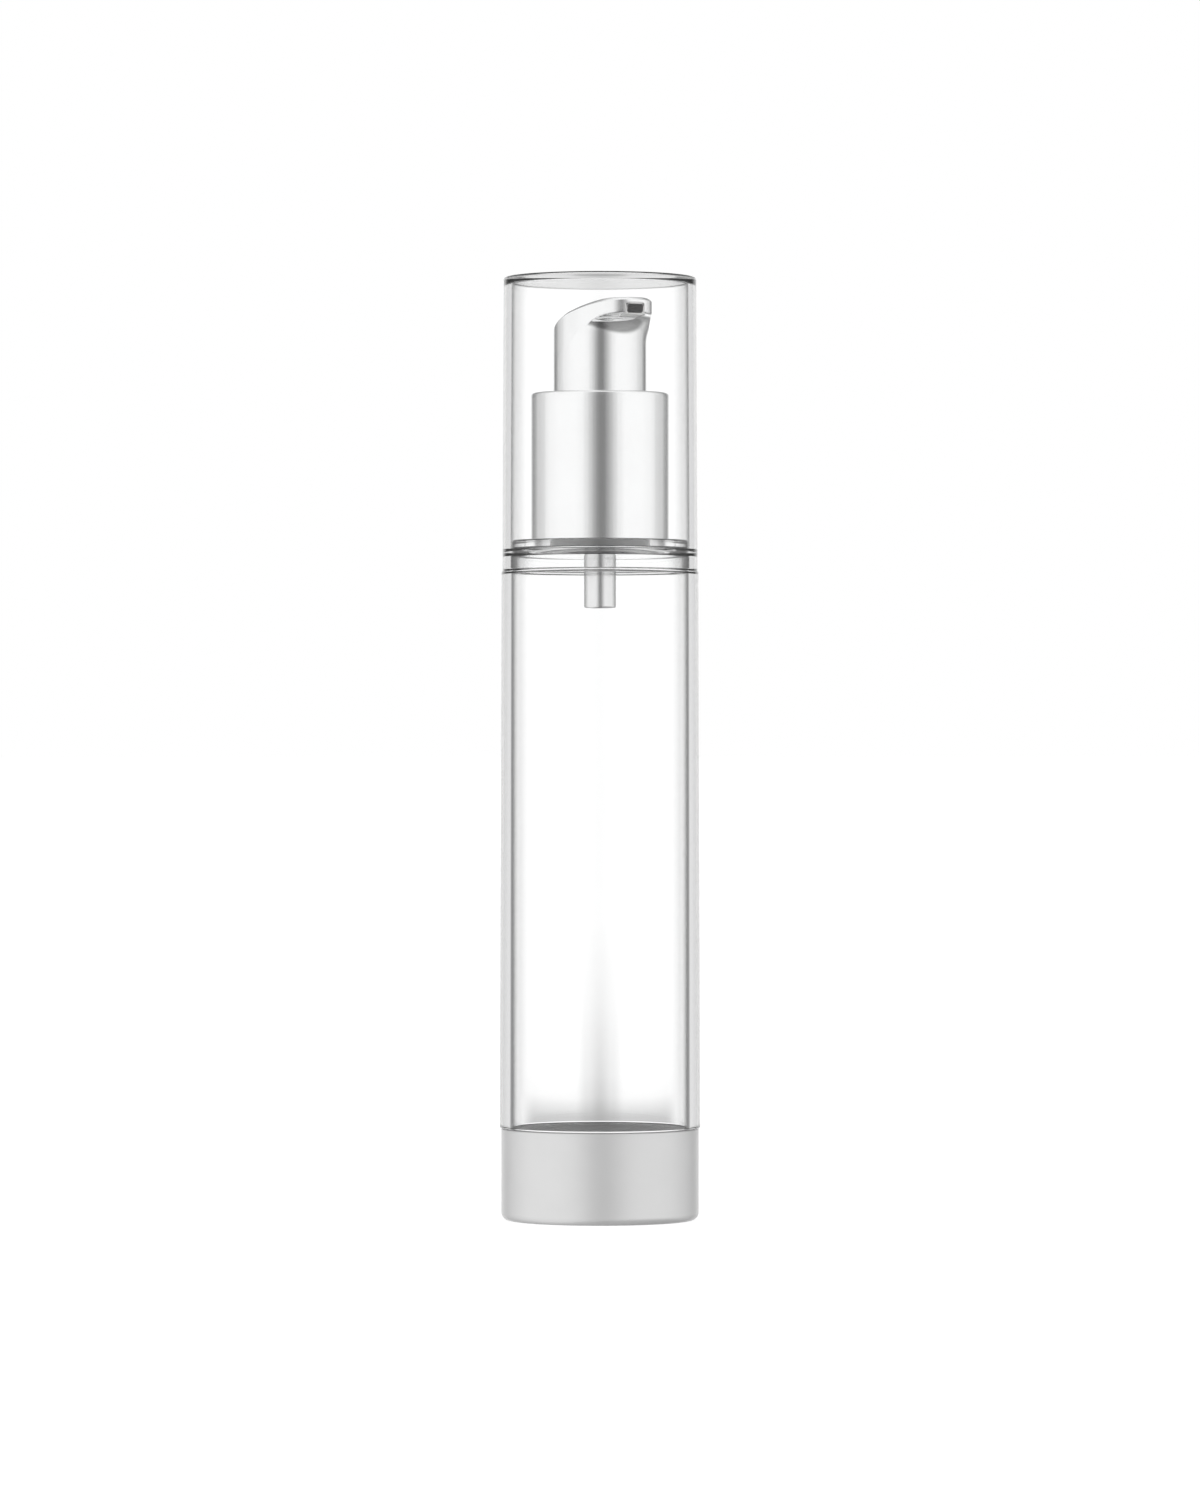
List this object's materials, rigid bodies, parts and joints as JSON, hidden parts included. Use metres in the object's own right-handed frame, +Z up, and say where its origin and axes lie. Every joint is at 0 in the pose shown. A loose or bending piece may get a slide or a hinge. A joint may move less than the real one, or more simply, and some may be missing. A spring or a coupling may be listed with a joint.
{
  "type": "airless pump bottle",
  "caption": "Round clear airless bottle with follower piston, satin base cap, metallised push-down spout pump and clear overcap.",
  "frame": {"origin": "centre of the resting plane, on the bottle's axis", "axes": "+Z up along the bottle's axis; the spout points along -Y"},
  "size_m": [0.0336, 0.0336, 0.1575],
  "materials": {
    "clear_wall": "clear polished moulded plastic",
    "clear_cap": "clear polished moulded plastic",
    "satin_base": "light grey satin lacquer",
    "silver_metal": "bright silver anodised sheath",
    "silver_plated": "bright silver metallised plastic",
    "natural_pp": "natural polypropylene, slightly milky",
    "white_pp": "white moulded polypropylene",
    "piston_pe": "grey-white soft polyethylene",
    "seal_pe": "soft translucent polyethylene",
    "steel_ball": "polished stainless steel",
    "spring_steel": "drawn stainless steel wire"
  },
  "bodies": {
    "bottle": {"bottle": "clear_wall", "base_cap": "satin_base", "neck_plug": "seal_pe", "pump_housing": "natural_pp", "inlet_cage": "white_pp", "stem_guide": "white_pp", "fixing_ring": "white_pp", "collar": "silver_metal"},
    "overcap": {"overcap": "clear_cap"},
    "follower": {"follower_piston": "piston_pe"},
    "plunger": {"pump_piston": "seal_pe", "return_spring": "spring_steel"},
    "head": {"pump_stem": "white_pp", "actuator_insert": "white_pp", "actuator_shell": "silver_plated"},
    "inlet_ball": {"inlet_ball": "steel_ball"},
    "outlet_ball": {"outlet_ball": "steel_ball"}
  },
  "joints": [
    {"name": "cap_lift", "type": "slide", "parent": "bottle", "child": "overcap", "axis": [0, 0, 1], "range_m": [0, 0.05]},
    {"name": "follower_rise", "type": "slide", "parent": "bottle", "child": "follower", "axis": [0, 0, 1], "range_m": [0, 0.0925]},
    {"name": "pump_press", "type": "slide", "parent": "bottle", "child": "plunger", "axis": [0, 0, -1], "range_m": [0, 0.005], "stiffness_N_per_m": 1500, "springref_m": -0.005, "deforming": ["return_spring"]},
    {"name": "head_turn", "type": "hinge", "parent": "plunger", "child": "head", "pos_m": [0, 0, 0.13], "axis": [0, 0, 1], "continuous": true},
    {"name": "inlet_ball_lift", "type": "slide", "parent": "bottle", "child": "inlet_ball", "axis": [0, 0, 1], "range_m": [0, 0.0008]},
    {"name": "outlet_ball_lift", "type": "slide", "parent": "head", "child": "outlet_ball", "axis": [0, 0, 1], "range_m": [0, 0.0006]}
  ]
}
